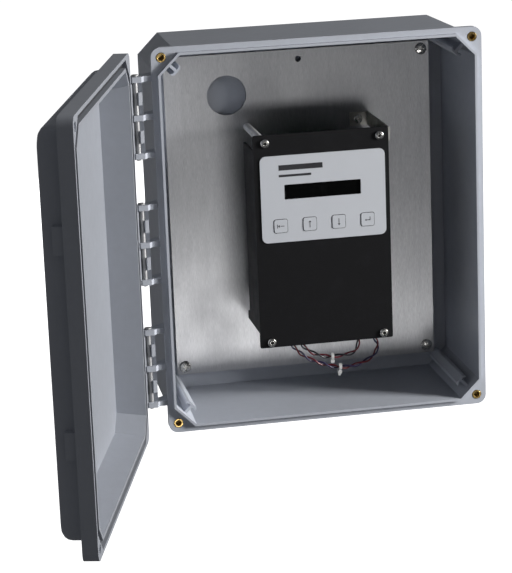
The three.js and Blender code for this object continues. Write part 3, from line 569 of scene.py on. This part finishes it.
def twisted_wire(name, route, phase, look):
    places, total = even_places(smooth_route(route), WIRE_STEPS)
    turns = round(total / TWIST_PITCH)
    curve = bpy.data.curves.new(name, "CURVE")
    curve.dimensions = "3D"
    curve.bevel_depth = WIRE_DIAMETER / 2
    curve.bevel_resolution = 4
    curve.use_fill_caps = True
    spline = curve.splines.new("POLY")
    spline.points.add(len(places) - 1)
    for index, (place, ahead) in enumerate(places):
        side = (Vector((0, 1, 0)) - ahead * ahead.y).normalized()
        across = ahead.cross(side)
        angle = phase + turns * 2 * math.pi * index / (len(places) - 1)
        centre = place + PAIR_RADIUS * (side * math.cos(angle) + across * math.sin(angle))
        spline.points[index].co = (*centre, 1)
    piece = bpy.data.objects.new(f"{name}_insulation", curve)
    finish_piece(piece, "case", look)
    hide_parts(name)


def make_wires():
    twisted_wire("wire_inner_red", INNER_ROUTE, 0, "wire_red")
    twisted_wire("wire_inner_black", INNER_ROUTE, math.pi, "wire_black")
    twisted_wire("wire_outer_red", OUTER_ROUTE, 0, "wire_red")
    twisted_wire("wire_outer_violet", OUTER_ROUTE, math.pi, "wire_violet")
    soften("cable_tie_inner", 0.15 * MM)
    soften("cable_tie_outer", 0.15 * MM)


# ---- print on the label ----

INK_THICKNESS = 0.05 * MM


def raised_print(name, outlines, front, body):
    """Thin flat ink shapes. Each outline is a list of (x, z) corners, anticlockwise from the front."""
    mesh = bmesh.new()
    for outline in outlines:
        back = [mesh.verts.new((x, front, z)) for x, z in outline]
        face = mesh.faces.new(back)
        made = bmesh.ops.extrude_face_region(mesh, geom=[face])
        moved = [item for item in made["geom"] if isinstance(item, bmesh.types.BMVert)]
        bmesh.ops.translate(mesh, verts=moved, vec=(0, -INK_THICKNESS, 0))
    bmesh.ops.recalc_face_normals(mesh, faces=mesh.faces)
    data = bpy.data.meshes.new(name)
    mesh.to_mesh(data)
    mesh.free()
    piece = bpy.data.objects.new(name, data)
    finish_piece(piece, body, "label_ink")
    return piece


def bar(x, z, width, height):
    return [
        (x - width / 2, z - height / 2), (x + width / 2, z - height / 2),
        (x + width / 2, z + height / 2), (x - width / 2, z + height / 2),
    ]


def arrow_head(x, z, size, direction):
    dx, dz = direction
    return [
        (x + dx * size, z + dz * size),
        (x - dz * size * 0.8, z + dx * size * 0.8),
        (x + dz * size * 0.8, z - dx * size * 0.8),
    ]


def key_glyph(key):
    low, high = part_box(f"key_{key}")
    x = (low.x + high.x) / 2
    z = (low.z + high.z) / 2
    line = 0.55 * MM
    if key == "up":
        return [bar(x, z - 0.6 * MM, line, 4.6 * MM), arrow_head(x, z + 1.6 * MM, 1.5 * MM, (0, 1))]
    if key == "down":
        return [bar(x, z + 0.6 * MM, line, 4.6 * MM), arrow_head(x, z - 1.6 * MM, 1.5 * MM, (0, -1))]
    if key == "enter":
        return [
            bar(x + 2.0 * MM, z + 0.9 * MM, line, 2.8 * MM),
            bar(x + 0.6 * MM, z - 0.5 * MM, 3.2 * MM, line),
            arrow_head(x - 1.2 * MM, z - 0.5 * MM, 1.3 * MM, (-1, 0)),
        ]
    return [
        bar(x - 2.9 * MM, z, line, 3.4 * MM),
        bar(x + 1.3 * MM, z, 3.4 * MM, line),
        arrow_head(x - 1.0 * MM, z, 1.5 * MM, (-1, 0)),
    ]


def print_label():
    for key in KEYS:
        low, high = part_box(f"key_{key}")
        body = body_of(f"key_{key}")
        raised_print(f"key_print_{key}", key_glyph(key), low.y, body)
    low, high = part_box("keypad_label")
    left = low.x + 16 * MM
    top = high.z - 10.5 * MM
    heading = [
        bar(left + 19 * MM, top, 38 * MM, 4.6 * MM),
        bar(left + 14 * MM, top - 7 * MM, 28 * MM, 2 * MM),
    ]
    raised_print("label_heading", heading, low.y, "case")


# ---- everything else keeps its CAD shape ----

def dress_hidden_nodes():
    for node, part in NODES.items():
        if not part.hide_render:
            part.data.materials.clear()
            part.data.materials.append(LOOKS[SLOTS[node]])


# ---- stage ----

FLOOR_DROP = 0.26
FLOOR_RADIUS = 4.0
FLOOR_SIDES = 64
SWEEP_RADIUS = 1.0
SWEEP_STEPS = 10
SWEEP_TOP = 3.0


def make_stage():
    """A pale round floor that sweeps up on every side, so that each view has paper behind it."""
    floor_z = cad_bounds[0].z - FLOOR_DROP
    profile = [(FLOOR_RADIUS - SWEEP_RADIUS, floor_z)]
    for step in range(1, SWEEP_STEPS + 1):
        angle = math.pi / 2 * step / SWEEP_STEPS
        reach = FLOOR_RADIUS - SWEEP_RADIUS + SWEEP_RADIUS * math.sin(angle)
        profile.append((reach, floor_z + SWEEP_RADIUS * (1 - math.cos(angle))))
    profile.append((FLOOR_RADIUS, floor_z + SWEEP_TOP))
    mesh = bmesh.new()
    turns = [2 * math.pi * side / FLOOR_SIDES for side in range(FLOOR_SIDES)]
    rows = [[mesh.verts.new((r * math.cos(a), r * math.sin(a), z)) for a in turns] for r, z in profile]
    mesh.faces.new(rows[0])
    for inner, outer in zip(rows, rows[1:]):
        for side in range(FLOOR_SIDES):
            after = (side + 1) % FLOOR_SIDES
            face = mesh.faces.new((inner[side], outer[side], outer[after], inner[after]))
            face.smooth = True
    data = bpy.data.meshes.new("floor")
    mesh.to_mesh(data)
    mesh.free()
    floor = bpy.data.objects.new("floor", data)
    bpy.context.scene.collection.objects.link(floor)
    material, tree, shader = start_material("floor_paper")
    tone = noise(tree, coordinates(tree), 3, 2)
    paper = blend_colours(tree, tone, (0.86, 0.86, 0.86), (0.9, 0.9, 0.9))
    tree.links.new(paper, shader.inputs["Base Color"])
    shader.inputs["Roughness"].default_value = 0.9
    shader.inputs["Emission Color"].default_value = (1, 1, 1, 1)
    shader.inputs["Emission Strength"].default_value = 0.95
    data.materials.append(material)
    floor.visible_diffuse = False
    floor.visible_glossy = False


def area_light(name, place, target, size, power, colour=(1, 1, 1)):
    data = bpy.data.lights.new(name, "AREA")
    data.shape = "RECTANGLE"
    data.size, data.size_y = size
    data.energy = power
    data.color = colour
    light = bpy.data.objects.new(name, data)
    bpy.context.scene.collection.objects.link(light)
    light.location = place
    light.rotation_mode = "QUATERNION"
    light.rotation_quaternion = (Vector(target) - Vector(place)).to_track_quat("-Z", "Y")
    light.visible_camera = False
    return light


def keep_off_door(light):
    """Lights the case and what it holds, as a flag beside the lamp would."""
    lit = bpy.data.collections.new("case_side")
    for piece in bpy.context.scene.objects:
        if piece.type in ("MESH", "CURVE") and not piece.name.startswith(("door", "floor")):
            lit.objects.link(piece)
    light.light_linking.receiver_collection = lit


def make_lights():
    """Two lamps to the right, a soft one behind, two cards seen only in gloss, and a faint surround."""
    area_light("key", (2.1, -0.9, 0.66), (-0.05, -0.15, 0), (0.5, 0.5), 50, (1.0, 0.99, 0.97))
    keep_off_door(area_light("case_lamp", (2.0, -0.9, 0.28), (0, -0.1, 0), (0.35, 0.35), 40))
    back_lamp = area_light("back_lamp", (-0.5, 2.1, 0.1), (-0.05, 0, 0), (1.2, 0.9), 16)
    back_lamp.visible_glossy = False
    for name, place, size, power in (
        ("low_card", (0.0, -1.55, -0.63), (0.75, 0.32), 6.5),
        ("high_card", (0.10, -1.55, -0.12), (0.35, 0.2), 0.9),
    ):
        card = area_light(name, place, (0, -0.01, 0), size, power)
        card.visible_diffuse = False
    world = bpy.data.worlds.new("studio")
    world.use_nodes = True
    world.node_tree.nodes["Background"].inputs["Color"].default_value = (0.93, 0.95, 1, 1)
    world.node_tree.nodes["Background"].inputs["Strength"].default_value = 0.085
    bpy.context.scene.world = world


make_wires()
soften_case()
soften_metal()
brush_plate()
soften_unit()
print_label()
dress_hidden_nodes()
make_stage()
make_lights()
bpy.context.scene.view_settings.view_transform = "Standard"
